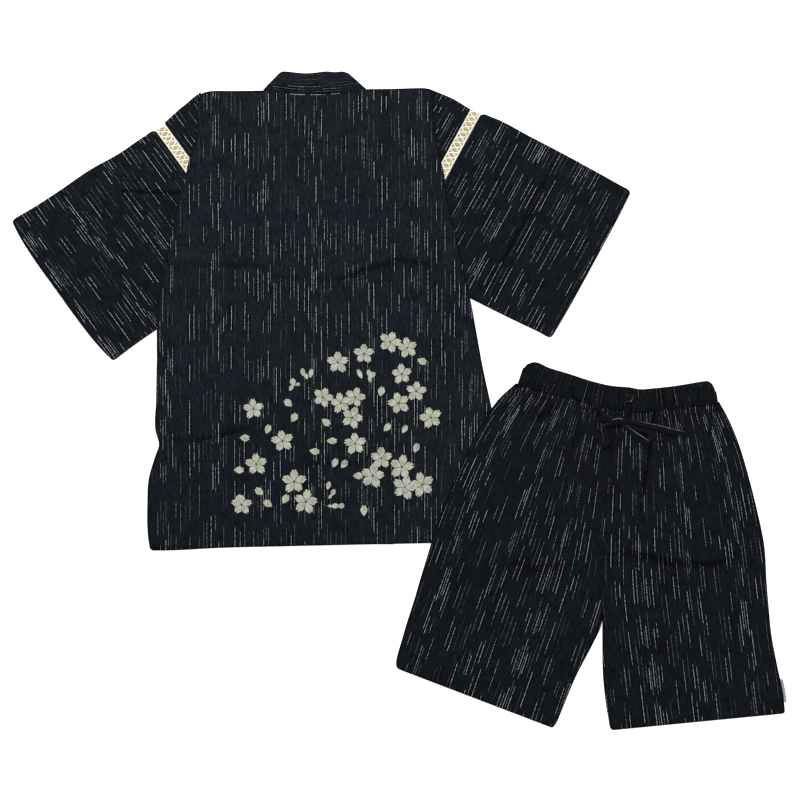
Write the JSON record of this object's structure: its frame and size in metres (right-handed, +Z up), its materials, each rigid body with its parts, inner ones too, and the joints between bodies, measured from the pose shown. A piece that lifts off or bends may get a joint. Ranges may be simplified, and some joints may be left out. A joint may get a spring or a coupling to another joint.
{
  "type": "jinbei set",
  "caption": "Short-sleeved wrap jacket with collar band and lace shoulder insertions, lying face down, with gathered drawstring shorts laid over its lower corner.",
  "frame": {"origin": "centre of the whole laid-out set on the surface that it lies on", "axes": "+Z up from the surface, +Y from the jacket's hem towards its collar, +X from the jacket's left sleeve towards the shorts"},
  "size_m": [1.3339, 1.1329, 0.0108],
  "materials": {
    "navy_cotton": "dry crinkled cotton with short pale streaks along the grain",
    "cream_lace": "cream cotton lace with corded edges",
    "button_resin": "dark polished resin",
    "label_tape": "bare pale woven tape"
  },
  "bodies": {
    "root": {"jacket_back": "navy_cotton", "jacket_front_left": "navy_cotton", "jacket_front_right": "navy_cotton", "collar_back": "navy_cotton", "collar_left": "navy_cotton", "collar_right": "navy_cotton", "shoulder_left": "navy_cotton", "shoulder_right": "navy_cotton", "sleeve_left": "navy_cotton", "sleeve_right": "navy_cotton", "lace_left": "cream_lace", "lace_right": "cream_lace", "tie_inner_front": "navy_cotton", "tie_inner_side": "navy_cotton", "tie_outer_front": "navy_cotton", "tie_outer_side": "navy_cotton", "shorts_back_left": "navy_cotton", "shorts_back_right": "navy_cotton", "shorts_front_left": "navy_cotton", "shorts_front_right": "navy_cotton", "fly": "navy_cotton", "waistband": "navy_cotton", "drawstring_left": "navy_cotton", "drawstring_right": "navy_cotton", "drawstring_tail": "navy_cotton", "bow_loop_left": "navy_cotton", "bow_loop_right": "navy_cotton", "bow_knot": "navy_cotton", "waist_button": "button_resin", "side_label": "label_tape"}
  },
  "joints": []
}
